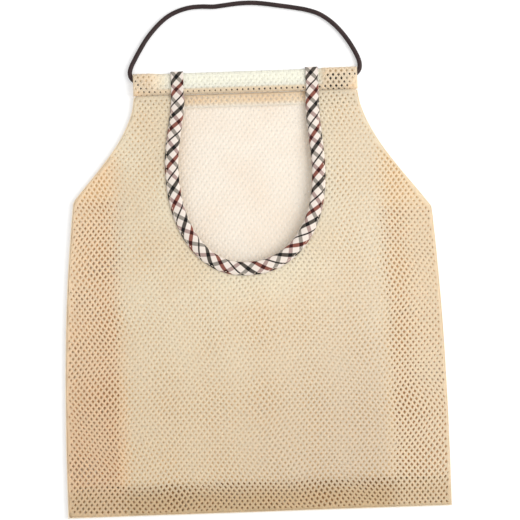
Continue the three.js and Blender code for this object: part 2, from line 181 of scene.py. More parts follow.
# Table and light: a white table, an even white sky and one broad soft lamp on the right.
# The table glows a little to the camera, so that it shows white, and keeps the bag's shadow.
SKY = 0.75
LAMP_PLACE = Vector((1.2, 0.2, 1.1))
LAMP_WIDTH = 1.1
LAMP_POWER = 18.5
TABLE_HALF = 3
TABLE_DROP = 0.0002
TABLE_GLOW, GLOW_STRENGTH = 0.2, 1.5

table_mesh = bmesh.new()
bmesh.ops.create_grid(table_mesh, x_segments=1, y_segments=1, size=TABLE_HALF)
bmesh.ops.translate(table_mesh, verts=table_mesh.verts, vec=(0, 0, -TABLE_DROP))
table_finish = finish_named("table_white", Base_Color=(0.97, 0.97, 0.97, 1), Roughness=0.9)
glow = table_finish.node("Emission", inputs={"Strength": GLOW_STRENGTH})
lit = Signal(table_finish, table_finish.shader.outputs[0])
mixed = table_finish.node("MixShader", inputs={
    0: seen(table_finish) * TABLE_GLOW, 1: lit, 2: glow})
table_finish.put(table_finish.tree.nodes["Material Output"].inputs["Surface"], mixed)
piece("table", table_mesh, table_finish)

world = bpy.data.worlds.new("studio")
bpy.context.scene.world = world
world.use_nodes = True
sky = Finish(world.node_tree, "Background")
sky.feed(Color=(1, 1, 1, 1), Strength=seen(sky) * (1 - SKY) + SKY)

lamp = bpy.data.objects.new("lamp", bpy.data.lights.new("lamp", "AREA"))
lamp.data.size = LAMP_WIDTH
lamp.data.energy = LAMP_POWER
lamp.location = LAMP_PLACE
lamp.rotation_euler = (-LAMP_PLACE).to_track_quat("-Z", "Y").to_euler()
bpy.context.scene.collection.objects.link(lamp)


# Hanging cord: sixteen plaits of dark brown polyester braided round, 4.4 mm thick.
# It leaves the left mouth of the casing, lies in an arch above the hem and goes back in on the
# right. Inside it runs along the casing's lower edge, and one knot at the right closes the loop.
CORD_WIDTH = 0.0044
CORD_SIDES = 32
CORD_STEP = 0.0004
PLAITS_EACH_WAY = 8
PLAIT_LAY = 0.0135
PLAIT_RELIEF = 0.09
PLAIT_ROUND = 3.2
CURVE_STEPS = 16
TOUCHING = 1e-7
CORD_ROUTE = [Vector(point) for point in (
    (-0.1044, 0.2019, 0.0033),
    (-0.1063, 0.2034, 0.0033),
    (-0.1083, 0.2062, 0.0032),
    (-0.1090, 0.2102, 0.0029),
    (-0.1076, 0.2156, 0.0025),
    (-0.1040, 0.2226, 0.00225),
    (-0.0984, 0.2322, 0.00225),
    (-0.0924, 0.2414, 0.00225),
    (-0.0854, 0.2499, 0.00225),
    (-0.0776, 0.2576, 0.00225),
    (-0.0696, 0.2634, 0.00225),
    (-0.0600, 0.2677, 0.00225),
    (-0.0498, 0.2702, 0.00225),
    (-0.0384, 0.2708, 0.00225),
    (-0.0272, 0.2703, 0.00225),
    (-0.0160, 0.2714, 0.00225),
    (-0.0034, 0.2726, 0.00225),
    (0.0094, 0.2727, 0.00225),
    (0.0220, 0.2713, 0.00225),
    (0.0354, 0.2691, 0.00225),
    (0.0482, 0.2669, 0.00225),
    (0.0600, 0.2644, 0.00225),
    (0.0716, 0.2603, 0.00225),
    (0.0824, 0.2530, 0.00225),
    (0.0918, 0.2434, 0.00225),
    (0.0996, 0.2326, 0.00225),
    (0.1052, 0.2226, 0.00225),
    (0.1082, 0.2154, 0.0025),
    (0.1090, 0.2102, 0.0029),
    (0.1083, 0.2062, 0.0032),
    (0.1063, 0.2034, 0.0033),
    (0.1044, 0.2019, 0.0033),
)]


def smooth_line(points, spacing):
    """Even steps along the smooth curve through the points; the first and last only steer it."""
    dense = []
    for before, start, end, after in zip(points, points[1:], points[2:], points[3:]):
        first, middle, last = (
            math.sqrt((two - one).length)
            for one, two in ((before, start), (start, end), (end, after)))
        along = (end - start) / middle
        leave = (start - before) / first - (end - before) / (first + middle) + along
        arrive = along - (after - start) / (middle + last) + (after - end) / last
        handles = start + leave * middle / 3, end - arrive * middle / 3
        dense += interpolate_bezier(start, *handles, end, CURVE_STEPS)[:-1]
    return even(dense + [points[-2]], spacing)


def reaches(line):
    """The length along a line to each of its points."""
    made = [0.0]
    for one, two in zip(line, line[1:]):
        made.append(made[-1] + (two - one).length)
    return made


def line_length(line):
    return reaches(line)[-1]


def even(line, spacing):
    """The same line with its points about a spacing apart."""
    reach = reaches(line)
    steps = max(1, round(reach[-1] / spacing))
    made, i = [], 0
    for step in range(steps + 1):
        goal = reach[-1] * step / steps
        while i < len(line) - 2 and reach[i + 1] < goal:
            i += 1
        made.append(line[i].lerp(line[i + 1], (goal - reach[i]) / (reach[i + 1] - reach[i])))
    return made


def tube(line, sides, radii):
    """A closed tube round a line. radii gives its half width, half height and how sunk a place
    is, from 0 to 1, for a length along it and a share of the way round."""
    mesh = bmesh.new()
    sunk = mesh.verts.layers.float.new("sunk")
    rings = len(line) - 1
    bmesh.ops.create_grid(mesh, x_segments=rings, y_segments=sides, size=1)
    reach = reaches(line)
    frames = []
    for i in range(rings + 1):
        along = (line[min(i + 1, rings)] - line[max(i - 1, 0)]).normalized()
        side = along.cross(Vector((0, 0, 1))).normalized()
        frames.append((line[i], side, side.cross(along)))
    for vert in mesh.verts:
        ring = round((vert.co.x + 1) / 2 * rings)
        around = (vert.co.y + 1) / 2
        middle, side, up = frames[ring]
        half_width, half_height, vert[sunk] = radii(reach[ring], around)
        turn = 2 * math.pi * around
        vert.co = middle + side * half_width * math.cos(turn) + up * half_height * math.sin(turn)
    bmesh.ops.remove_doubles(mesh, verts=mesh.verts, dist=TOUCHING)
    rim = [edge for edge in mesh.edges if edge.is_boundary]
    bmesh.ops.holes_fill(mesh, edges=rim, sides=0)
    bmesh.ops.recalc_face_normals(mesh, faces=mesh.faces)
    return mesh


def plait(right, left):
    """Height of a round braid, from 0 to 1, counted in plaits that climb right and left."""
    over = 1 if (math.floor(right) + math.floor(left)) % 2 == 0 else -1
    a, b = right % 1 - 0.5, left % 1 - 0.5
    rising = math.sqrt(1 - PLAIT_ROUND * a * a) * (0.5 + 0.5 * over * math.cos(math.pi * b))
    falling = math.sqrt(1 - PLAIT_ROUND * b * b) * (0.5 - 0.5 * over * math.cos(math.pi * a))
    return max(rising, falling)


def braided(width, height):
    """Radii of a braided cord that is this wide and high."""
    def radii(along, around):
        right = PLAITS_EACH_WAY * (around + along / PLAIT_LAY)
        left = PLAITS_EACH_WAY * (around - along / PLAIT_LAY)
        rise = plait(right, left)
        size = 1 - PLAIT_RELIEF * (1 - rise)
        return width / 2 * size, height / 2 * size, 1 - rise
    return radii


cord_finish = finish_named("cord_braid", Roughness=0.62, Specular_IOR_Level=0.35)
hollow = cord_finish.node("Attribute", {"attribute_name": "sunk"}, output="Fac")
fibres = cord_finish.node("TexNoise", inputs={
    "Vector": cord_finish.node("TexCoord", output="Object"), "Scale": 2600, "Detail": 3})
worn = cord_finish.node("TexNoise", inputs={
    "Vector": cord_finish.node("TexCoord", output="Object"), "Scale": 60, "Detail": 2})
brown = worn.step(0.35, 0.7).mix(shade(36, 19, 18), shade(48, 29, 28))
# Painted shade: the sunk places between the plaits are darkened to near black.
brown = hollow.step(0.25, 0.9).mix(brown, shade(14, 6, 6))
cord_finish.feed(Base_Color=brown, Normal=cord_finish.node("Bump", inputs={
    "Height": fibres - hollow * 0.3, "Distance": 0.00012, "Strength": 0.6}))

cord_line = smooth_line(CORD_ROUTE, CORD_STEP)
cord_radii = braided(CORD_WIDTH, CORD_WIDTH)
cord_loop = piece("cord_loop", tube(cord_line, CORD_SIDES, cord_radii), cord_finish)
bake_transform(cord_loop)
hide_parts("hanging_cord")
line_length(cord_line)
cord_line[::6] + cord_line[-1:]

HELD_Z = CORD_ROUTE[0].z
RUN_Y = 0.1905
CORD_RETURN = 0.00315
RETURN_STEPS = 6
END_SHORT, END_AIM = 0.001, 0.004
KNOT_LOW, KNOT_HIGH = (Vector(corner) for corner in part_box("cord_knot"))
low_tail = RUN_Y + 2 * CORD_RETURN
high_tail = KNOT_LOW.y + KNOT_HIGH.y - low_tail
run_inside = [
    (-0.0995, 0.1969), (-0.0946, 0.1926), (-0.0903, 0.1908), (-0.086, RUN_Y), (0, RUN_Y),
    (KNOT_LOW.x, RUN_Y)]
for i in range(RETURN_STEPS + 1):
    turn = math.pi * i / RETURN_STEPS
    run_inside.append((
        KNOT_HIGH.x + CORD_RETURN * (1 + math.sin(turn)),
        RUN_Y + CORD_RETURN * (1 - math.cos(turn))))
run_inside += [(KNOT_HIGH.x - x, low_tail) for x in (END_SHORT, END_AIM)]
tail_inside = [(KNOT_HIGH.x - x, high_tail) for x in (-2 * CORD_RETURN, END_SHORT, END_AIM)]
for name, node, start, inside in (
        ("cord_in_casing", "cord_run", CORD_ROUTE[2::-1], run_inside),
        ("cord_short_end", "cord_tail", CORD_ROUTE[-3:], tail_inside)):
    held_line = smooth_line(start + [Vector((x, y, HELD_Z)) for x, y in inside], CORD_STEP)
    held = piece(name, tube(held_line, CORD_SIDES, cord_radii), cord_finish)
    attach(held, "bag")
    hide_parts(node)

KNOT_TURNS, WRAP_STEPS, KNOT_SIDES = 2, 24, 16
WRAP_FLAT = 0.6
strand = (KNOT_HIGH.x - KNOT_LOW.x) / (KNOT_TURNS + 1)
strand_high = strand * WRAP_FLAT
knot_half = (KNOT_HIGH.y - KNOT_LOW.y - strand) / 2
knot_rise = (KNOT_HIGH.z - KNOT_LOW.z - strand_high) / 2
wraps = []
for i in range(WRAP_STEPS * KNOT_TURNS + 1):
    turn = 2 * math.pi * i / WRAP_STEPS
    wraps.append(Vector((
        KNOT_LOW.x + strand / 2 + strand * i / WRAP_STEPS,
        (KNOT_LOW.y + KNOT_HIGH.y) / 2 + knot_half * math.cos(turn),
        HELD_Z + knot_rise * math.sin(turn))))
knot_mesh = tube(even(wraps, CORD_STEP), KNOT_SIDES, braided(strand, strand_high))
knot = piece("knot_in_casing", knot_mesh, cord_finish)
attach(knot, "bag")
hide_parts("cord_knot")


# Back panel: one layer of beige warp-knitted polyester net, 0.8 mm thick, flat on the table.
# Its staggered holes are 5.2 mm apart in a row. The cut widens from the hem, where the panels
# are tucked into the casing's seam, to the base.
CLOTH = 0.0008
GAP = 0.0003
HOLE_ACROSS, HOLE_ALONG = 0.0052, 0.0067
STRAND = 0.0023
BACK_STRAND = 0.0034
HOLE_AREA = HOLE_ACROSS * HOLE_ALONG / 2
WHOLE_CELL = 0.78
SPARE_CELLS = 8
SLIVER = HOLE_ACROSS / 40
CLOSING = 1e-6
STRAND_EDGE = 0.4
FIBRE_GLINT = 0.12
YARN_THROUGH = 0.5
SEAM = 0.0013
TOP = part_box("opening_binding")[1][1]
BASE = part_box("base_front_seam")[0][1]
HEM_TUCK = 0.0005
PANEL_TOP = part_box("back_panel")[1][1] + HEM_TUCK
PANEL_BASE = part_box("back_panel")[0][1]
CASING_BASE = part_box("top_casing")[0][1]
FACING_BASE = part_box("hem_facing")[0][1]
HEM_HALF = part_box("top_casing")[1][0]
BASE_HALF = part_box("right_back_seam")[1][0]
HEM_FLARE = 0.002
LEFT_SHOULDER = (0.089, 0.1671)
RIGHT_SHOULDER = (0.074, 0.1726)
SHOULDER_HOLLOW = 0.0067
SHOULDER_SKEW = 1.5
SIDE_ROUND = 2.6


def clamp(value, low=0.0, high=1.0):
    return max(low, min(high, value))


def smoothly(value, low, high):
    """0 at low, 1 at high and smooth between them."""
    share = clamp((value - low) / (high - low))
    return share * share * (3 - 2 * share)


def half_width(side, y):
    """From the middle to one side of the bag: a short hem, a hollow shoulder, then sides that
    flare gently. The right shoulder lies a little lower than the left one."""
    shoulder_y, shoulder_half = LEFT_SHOULDER if side < 0 else RIGHT_SHOULDER
    if y >= FACING_BASE:
        return HEM_HALF + HEM_FLARE * clamp((CASING_BASE - y) / (CASING_BASE - FACING_BASE))
    if y >= shoulder_y:
        down = (FACING_BASE - y) / (FACING_BASE - shoulder_y)
        deepest = 1 / (1 + SHOULDER_SKEW)
        hollow = down * (1 - down) ** SHOULDER_SKEW / (deepest * (1 - deepest) ** SHOULDER_SKEW)
        hem = HEM_HALF + HEM_FLARE
        return hem + (shoulder_half - hem) * down - SHOULDER_HOLLOW * hollow
    down = min(1, (shoulder_y - y) / (shoulder_y - BASE))
    return BASE_HALF - (BASE_HALF - shoulder_half) * (1 - down) ** SIDE_ROUND


def within_bag(x, y):
    """The nearest place on the cut of a panel."""
    y = clamp(y, PANEL_BASE, PANEL_TOP)
    return clamp(x, SEAM - half_width(-1, y), half_width(1, y) - SEAM), y


def net(name, low, high, trim, drape, finish, sway=None, strand_width=STRAND, opened=None):
    """Net between two corners of the flat cloth. trim gives the nearest place on the cut, or
    None where it is cut away, and drape gives where a place of the flat cloth lies. A cell that
    the cut makes much smaller has no hole, and opened gives how wide the other holes stand."""
    mesh = bmesh.new()
    flat = mesh.loops.layers.uv.new("OFBake")
    strand = mesh.verts.layers.deform.verify()
    size = Vector(high) - Vector(low)
    cells = math.ceil(size.x / HOLE_ACROSS + size.y / HOLE_ALONG) + SPARE_CELLS
    cells += cells % 2
    bmesh.ops.create_grid(mesh, x_segments=cells, y_segments=cells, size=cells / 2)
    bmesh.ops.rotate(mesh, verts=mesh.verts, matrix=Matrix.Rotation(math.pi / 4, 3, "Z"))
    scale = (HOLE_ACROSS / math.sqrt(2), HOLE_ALONG / math.sqrt(2), 1)
    bmesh.ops.scale(mesh, verts=mesh.verts, vec=scale)
    middle = (Vector(low) + Vector(high)) / 2
    spots, inside = {}, set()
    for vert in mesh.verts:
        x, y = vert.co.x + middle.x, vert.co.y + middle.y
        if sway:
            x, y = sway(x, y)
        spots[vert] = trim(x, y)
        if spots[vert] and math.dist(spots[vert], (x, y)) < TOUCHING:
            inside.add(vert)
    spare = [
        face for face in mesh.faces
        if not all(spots[vert] for vert in face.verts) or inside.isdisjoint(face.verts)]
    for vert in mesh.verts:
        if spots[vert]:
            vert.co.x, vert.co.y = spots[vert]
    bmesh.ops.delete(mesh, geom=spare, context="FACES")
    bmesh.ops.remove_doubles(mesh, verts=mesh.verts, dist=SLIVER)
    whole = [face for face in mesh.faces if face.calc_area() > WHOLE_CELL * HOLE_AREA]
    bmesh.ops.inset_individual(
        mesh, faces=whole, thickness=strand_width / 2, use_even_offset=True)
    for face in whole if opened else []:
        centre = face.calc_center_median()
        for vert in face.verts:
            vert.co = centre + (vert.co - centre) * opened(centre.x, centre.y)
    hole = {vert for face in whole for vert in face.verts}
    bmesh.ops.delete(mesh, geom=whole, context="FACES")
    for face in mesh.faces:
        for loop in face.loops:
            place = loop.vert.co.xy - Vector(low)
            loop[flat].uv = place / max(size)
    for vert in mesh.verts:
        vert[strand][0] = STRAND_EDGE if vert in hole else 1
        vert.co = drape(vert.co.x, vert.co.y)
    bmesh.ops.remove_doubles(mesh, verts=mesh.verts, dist=CLOSING)
    bmesh.ops.recalc_face_normals(mesh, faces=mesh.faces)
    made = piece(name, mesh, finish)
    made.vertex_groups.new(name="strand")
    wall = made.modifiers.new("thickness", "SOLIDIFY")
    wall.thickness = CLOTH
    wall.offset = 0
    wall.vertex_group = "strand"
    return made


def net_finish(name, plain, shaded, over=None):
    """Knitted net: fine filaments on each strand, with painted white glints on them, and soft
    patches of two beiges. Half of the light goes on through the yarn, so each layer more makes it
    a deeper beige. over may change the colour by its place."""
    finish = finish_named(name, Roughness=0.85, Specular_IOR_Level=0.25)
    place = finish.node("TexCoord", output="Object")
    patches = finish.node("TexNoise", inputs={"Vector": place, "Scale": 16, "Detail": 2})
    filaments = finish.node("TexNoise", inputs={"Vector": place, "Scale": 1900, "Detail": 3})
    colour = patches.step(0.38, 0.64).mix(plain, shaded)
    if over:
        colour = over(place, colour)
    # Painted glints: small flecks of the filaments are mixed towards white.
    colour = (filaments.step(0.3, 0.75) * FIBRE_GLINT).mix(colour, (1, 1, 1, 1))
    finish.feed(Base_Color=colour, Normal=finish.node("Bump", inputs={
        "Height": filaments, "Distance": 0.0002, "Strength": 0.5}))
    through = finish.node("BsdfTranslucent", inputs={"Color": colour})
    yarn = finish.node("MixShader", inputs={
        0: YARN_THROUGH, 1: Signal(finish, finish.shader.outputs[0]), 2: through})
    finish.put(finish.tree.nodes["Material Output"].inputs["Surface"], yarn)
    return finish


def bag_area(low, high):
    """Area of a panel's cut between two heights."""
    steps = 200
    rise = (high - low) / steps
    return sum(
        (half_width(side, low + rise * (i + 0.5)) - SEAM) * rise
        for i in range(steps) for side in (-1, 1))


PALE_HALF, PALE_DEPTH = 0.082, 0.2
ROUND_MOUTH = (0.8, 1.4)
SHADE_BESIDE_TAPE, SHADE_BESIDE_SHARE = (0.35, 0.75), 0.3


def part_of(place, axis):
    """How far a place lies along one axis: 0 is across the bag and 1 is up it. For the weave of
    the tape, 0 is along it and 1 is across it."""
    return place.finish.node("SeparateXYZ", inputs={0: place}, output=axis)


def painted_shade_round_mouth(place, colour):
    """Painted shade: the back net keeps its pale colour behind the mouth, is painted a little
    deeper beside the tape for the tape's shadow, and a warmer beige all round it for the shade
    under the front panel."""
    side = part_of(place, 0) * (1 / PALE_HALF)
    depth = (part_of(place, 1) - TOP) * (1 / PALE_DEPTH)
    side, depth = side * side, depth * depth
    outwards = side * side + depth * depth
    # Painted shadow of the tape on the back net beside it.
    colour = (side.step(*SHADE_BESIDE_TAPE) * SHADE_BESIDE_SHARE).mix(colour, shade(243, 227, 202))
    # Painted shade under the front panel, all round the mouth.
    return outwards.step(*ROUND_MOUTH).mix(colour, shade(250, 231, 198))


BACK_LEVEL = CLOTH / 2
# Painted light: the back net is painted paler than the front, for the table's light coming up
# through its single layer behind the mouth.
back_finish = net_finish(
    "net_back", shade(253, 247, 238), shade(252, 244, 233), painted_shade_round_mouth)
panel_low = (-BASE_HALF, PANEL_BASE)
panel_high = (BASE_HALF, PANEL_TOP)
BACK_TURN = math.radians(2.2)


def back_sway(x, y):
    """The back panel was cut a little off the straight of its rows of holes."""
    return x * math.cos(BACK_TURN) - y * math.sin(BACK_TURN), (
        x * math.sin(BACK_TURN) + y * math.cos(BACK_TURN))


back = net(
    "back_net", panel_low, panel_high, within_bag,
    lambda x, y: Vector((x, y, BACK_LEVEL)), back_finish, back_sway, BACK_STRAND)
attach(back, "bag")
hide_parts("back_panel")
back_area = bag_area(PANEL_BASE, PANEL_TOP)


# Side pleats: a strip of the same net down each side, folded in half and sewn between the panels.
# Each fold points inwards, 49 mm from the sewn edge.
SIDE_PLEAT = 0.049
FOLD_ROUND = CLOTH / 2 + GAP / 2
FOLD_LEVEL = (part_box("right_gusset")[0][2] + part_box("right_gusset")[1][2]) / 2


def folded(across, reach):
    """How far in from its sewn edge, and how high, a place across a folded strip lies."""
    flat = abs(across) - FOLD_ROUND * math.pi / 2
    side = math.copysign(1, across)
    if flat > 0:
        return reach - FOLD_ROUND - flat, FOLD_LEVEL + side * FOLD_ROUND
    turn = across / FOLD_ROUND
    inwards = reach - FOLD_ROUND + FOLD_ROUND * math.cos(turn)
    return inwards, FOLD_LEVEL + FOLD_ROUND * math.sin(turn)


PALER_ABOVE, DEEPER_BELOW = (0.11, 0.18), (0.02, -0.16)


def painted_shade_below(place, colour):
    """Painted shade on the folded net: deeper towards the base, and paler at its top end."""
    height = part_of(place, 1)
    colour = height.step(*PALER_ABOVE).mix(colour, shade(255, 242, 216))
    return height.step(*DEEPER_BELOW).mix(colour, shade(230, 194, 146))


# Painted shade: the folded net is painted a deeper beige than the panels, for the shade it lies in
# under the front panel.
fold_finish = net_finish("net_folded", shade(248, 223, 182), shade(242, 213, 168), painted_shade_below)
side_half = SIDE_PLEAT - FOLD_ROUND + FOLD_ROUND * math.pi / 2
for side, name in ((-1, "left"), (1, "right")):
    pleat_low, pleat_high = (corner[1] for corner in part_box(f"{name}_gusset"))

    def side_drape(x, y):
        reach, level = folded(x, SIDE_PLEAT)
        return Vector((side * (half_width(side, y) - SEAM - reach), y, level))

    pleat = net(
        f"{name}_pleat_net", (-side_half, pleat_low), (side_half, pleat_high),
        lambda x, y: (clamp(x, -side_half, side_half), clamp(y, pleat_low, pleat_high)),
        side_drape, fold_finish)
    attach(pleat, "bag")
    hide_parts(f"{name}_gusset")


# Base pleat: the same folded strip along the bottom edge, 27 mm deep.
# It is sewn to both panels along the base.
BASE_PLEAT = 0.027
base_half = BASE_PLEAT - FOLD_ROUND + FOLD_ROUND * math.pi / 2
base_width = BASE_HALF - SEAM
# Painted shade: the base pleat is painted a much deeper beige than the same net elsewhere, for the
# shade it lies in under the front panel.
base_shade_finish = net_finish("net_base", shade(216, 182, 134), shade(206, 170, 120))


def base_drape(x, y):
    reach, level = folded(y, BASE_PLEAT)
    return Vector((x, PANEL_BASE + reach, level))


base_pleat = net(
    "base_pleat_net", (-base_width, -base_half), (base_width, base_half),
    lambda x, y: (clamp(x, -base_width, base_width), clamp(y, -base_half, base_half)),
    base_drape, base_shade_finish)
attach(base_pleat, "bag")
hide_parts("base_gusset")


# Front panel: the same cut of net with the mouth taken out of it, a little puffed up. Each side of
# the mouth spreads a little, then follows a quarter of a full oval to the lowest place.
FRONT_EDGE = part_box("front_panel")[0][2]
CROWN = 0.0085
TAPE_WIDTH = 0.0124
TAPE_LEAF = 0.0005
MOUTH_TOP = {-1: 0.0642, 1: 0.0628}
MOUTH_EASE = {-1: 0.020, 1: 0.038}
MOUTH_WIDE = {-1: 0.0722, 1: 0.0664}
MOUTH_WIDE_DEPTH = {-1: 0.089, 1: 0.098}
MOUTH_DEPTH = 0.189
MOUTH_LEAN = 0.005
MOUTH_POWER = 2.2
MOUTH_SIDE_STEPS, MOUTH_ARC_STEPS = 44, 60


def mouth_spot(side, depth):
    """Middle of the tape at a depth below the bag's top edge, on its upper part."""
    spread = smoothly(depth, MOUTH_EASE[side], MOUTH_WIDE_DEPTH[side])
    half = MOUTH_TOP[side] + (MOUTH_WIDE[side] - MOUTH_TOP[side]) * spread
    return Vector((side * half, TOP - depth, 0))


def mouth_side(side):
    """One half of the middle line of the tape, from the top edge down."""
    wide_depth = MOUTH_WIDE_DEPTH[side]
    made = [mouth_spot(side, wide_depth * i / MOUTH_SIDE_STEPS) for i in range(MOUTH_SIDE_STEPS)]
    for i in range(MOUTH_ARC_STEPS):
        turn = math.pi / 2 * i / MOUTH_ARC_STEPS
        out = (MOUTH_WIDE[side] + side * MOUTH_LEAN) * math.cos(turn) ** (2 / MOUTH_POWER)
        drop = (MOUTH_DEPTH - wide_depth) * math.sin(turn) ** (2 / MOUTH_POWER)
        made.append(Vector((side * out - MOUTH_LEAN, TOP - wide_depth - drop, 0)))
    return made


mouth = mouth_side(-1) + [Vector((-MOUTH_LEAN, TOP - MOUTH_DEPTH, 0))] + mouth_side(1)[::-1]


def away(line, i):
    """Level direction that points out of the mouth at a point of its line."""
    along = (line[min(i + 1, len(line) - 1)] - line[max(i - 1, 0)]).normalized()
    return Vector((along.y, -along.x, 0))


mouth_tree = kdtree.KDTree(len(mouth))
for i, point in enumerate(mouth):
    mouth_tree.insert(point, i)
mouth_tree.balance()
CUT_OFFSET = TAPE_LEAF + GAP - TAPE_WIDTH / 2


def from_tape(x, y):
    """How far a place lies from the middle of the tape, and below zero inside the mouth."""
    point, i, _ = mouth_tree.find((x, y, 0))
    return (Vector((x, y, 0)) - point).dot(away(mouth, i))


def front_trim(x, y):
    if from_tape(x, y) < CUT_OFFSET:
        return None
    return within_bag(x, y)


def front_level(x, y):
    """Middle of the front panel's cloth: level at its sewn edges and puffed up between them."""
    across = clamp(x / half_width(x, y), -1, 1)
    along = clamp((PANEL_TOP - y) / (PANEL_TOP - BASE))
    rise = (1 - across ** 2) ** 2 * (1 - (2 * along - 1) ** 4)
    return FRONT_EDGE + CLOTH / 2 + CROWN * rise


PLEAT_LINE = PANEL_BASE + BASE_PLEAT
RIGHTWARD, LOWER = (-0.10, 0.12), (0.03, -0.16)
RIGHT_HALF, RIGHT_SHADE_SHARE = (0, 0.11), 0.5
LEFT_PLEAT, RIGHT_PLEAT = (-0.116, -0.138), (0.114, 0.140)
BASE_BAND = (PLEAT_LINE + 0.008, PLEAT_LINE - 0.016)
CORNER_LESS = 0.5


def painted_shade_over_pleats(place, colour):
    """Painted shade: the front net is painted a deeper beige where it lies on the pleats and the
    base pleat, darker towards the base, and darker on the right to even out the lamp's light
    there."""
    across, height = part_of(place, 0), part_of(place, 1)
    rightward, lower = across.step(*RIGHTWARD), height.step(*LOWER)
    left = across.step(*LEFT_PLEAT)
    sides = left.most(across.step(*RIGHT_PLEAT))
    base = height.step(*BASE_BAND)
    # Painted shade on the right half, towards the base, over the pleats and along the base band.
    colour = (across.step(*RIGHT_HALF) * RIGHT_SHADE_SHARE).mix(colour, shade(242, 233, 214))
    colour = lower.mix(colour, rightward.mix(shade(246, 235, 211), shade(238, 226, 204)))
    colour = sides.mix(colour, rightward.mix(shade(255, 240, 213), shade(249, 236, 210)))
    colour = (left * lower).mix(colour, shade(250, 229, 196))
    return (base * (1 - sides * CORNER_LESS)).mix(colour, shade(236, 214, 174))


front_finish = net_finish("net_front", shade(251, 244, 225), shade(249, 239, 217), painted_shade_over_pleats)
OVER_SIDE, OVER_BASE, TOWARDS_BASE = (0.114, 0.142), (-0.012, 0.004), (0, 0.13)
LEFT_EDGE, RIGHT_EDGE, RIGHT_EDGE_UP = (0.003, 0.010), (0.135, 0.158), (-0.16, -0.04)
OPEN, OPEN_LOW, OPEN_PLEAT = 0.72, 0.14, 0.39
OPEN_PATCH, LESS_PATCH = 0.14, 0.05
LESS_LEFT, LESS_RIGHT = 0.25, 0.3
PATCHES = ((1, 70, 50, 0), (1, -65, 40, 0))
SWAY_ASIDE = ((0.0017, 14, 52, 0), (0.0009, -38, 105, 1.3))
SWAY_UP = ((0.0016, 48, 16, 0.7), (0.0008, 90, 60, 0))


def waves_at(x, y, waves):
    """Soft waves at a place of the cloth. Each is given by its height, how fast it turns across
    and along, and where it starts."""
    return [
        height * math.sin(across * x + along * y + start)
        for height, across, along, start in waves]


def open_over_pleats(x, y):
    """The knit is pulled wider where the front lies on the pleats, and a little towards the
    base. It closes up in soft patches and along the two sides."""
    over = max(smoothly(abs(x), *OVER_SIDE), smoothly(PLEAT_LINE - y, *OVER_BASE))
    lower = smoothly(-y, *TOWARDS_BASE)
    left_side = 1 - smoothly(half_width(-1, y) + x, *LEFT_EDGE)
    right_side = smoothly(x, *RIGHT_EDGE) * smoothly(y, *RIGHT_EDGE_UP)
    patches = math.prod(waves_at(x, y, PATCHES))
    even_knit = OPEN + OPEN_LOW * lower + (OPEN_PLEAT - OPEN_LOW * lower) * over
    closed = max(LESS_LEFT * left_side, LESS_RIGHT * right_side)
    return even_knit + (OPEN_PATCH - LESS_PATCH * over) * patches - closed


def front_sway(x, y):
    """Soft folds in the cloth carry its rows of holes a little aside."""
    return x + sum(waves_at(x, y, SWAY_ASIDE)), y + sum(waves_at(x, y, SWAY_UP))


front = net(
    "front_net", panel_low, panel_high, front_trim,
    lambda x, y: Vector((x, y, front_level(x, y))), front_finish, front_sway, STRAND,
    open_over_pleats)
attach(front, "bag")
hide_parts("front_panel")
mouth_area = 0.5 * sum(
    one.x * two.y - two.x * one.y for one, two in zip(mouth, mouth[1:] + mouth[:1]))
back_area - mouth_area


# Hem facing: the turned edge of the back panel's hem, 12 mm of net that hangs inside the mouth.
# It is sewn in with the lower edge of the casing.
FACING_LEVEL = (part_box("hem_facing")[0][2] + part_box("hem_facing")[1][2]) / 2
LIT_EDGE_REACH = 0.006


def facing_trim(x, y):
    return within_bag(x, max(y, FACING_BASE))


def painted_light_at_edge(place, colour):
    """Painted light: towards its free edge the facing is painted paler, for the back panel's
    light showing through it.
    """
    thin = part_of(place, 1).step(FACING_BASE + LIT_EDGE_REACH, FACING_BASE)
    return thin.mix(colour, shade(255, 251, 242))


facing_finish = net_finish("net_facing", shade(251, 237, 213), shade(249, 232, 204), painted_light_at_edge)
facing = net(
    "facing_net", (-HEM_HALF, FACING_BASE), (HEM_HALF, PANEL_TOP), facing_trim,
    lambda x, y: Vector((x, y, FACING_LEVEL)), facing_finish)
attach(facing, "bag")
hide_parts("hem_facing")


# Stiffener: a flat white plastic strip inside the casing, with rounded corners.
# It shows through the holes of the net as the white bar along the hem.
strip_finish = finish_named("strip_white", Specular_IOR_Level=0.4)
strip_place = strip_finish.node("TexCoord", output="Object")
strip_cloud = strip_finish.node("TexNoise", inputs={
    "Vector": strip_place, "Scale": 40, "Detail": 3})
strip_finish.feed(
    Base_Color=strip_cloud.step(0.3, 0.7).mix(shade(255, 254, 247), shade(251, 249, 240)),
    Roughness=strip_cloud * 0.2 + 0.42,
    Normal=strip_finish.node("Bump", inputs={
        "Height": strip_cloud, "Distance": 0.0003, "Strength": 0.3}))
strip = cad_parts["top_stiffener"]
strip.data.materials.clear()
strip.data.materials.append(strip_finish.material)


# Casing: a sleeve of the same net along the hem, 21.5 mm high, sewn shut along its lower edge.
# It lies flat over the strip, goes round the cord below it and is fuller at its two ends.
CASING_LOW, CASING_HIGH = (Vector(corner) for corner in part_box("top_casing"))
STRIP_LOW, STRIP_HIGH = (Vector(corner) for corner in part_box("top_stiffener"))
CASING_CORNER = 0.0014
CASING_EASE = 0.006
CASING_ROWS = 7
CASING_FLAT = 2 * (CLOTH + GAP) + STRIP_HIGH.z - STRIP_LOW.z
CASING_FULL = 2 * (CLOTH + GAP) + CORD_WIDTH
BULGE_REACH = 0.011
BULGE_TURN = math.radians(200)
BULGE_STEPS, CORNER_STEPS = 24, 8
CASING_STEP = 0.0001
THICK_PLACES = 5
ROW_SHIFT = 0.479
casing_round = CASING_ROWS * HOLE_ALONG


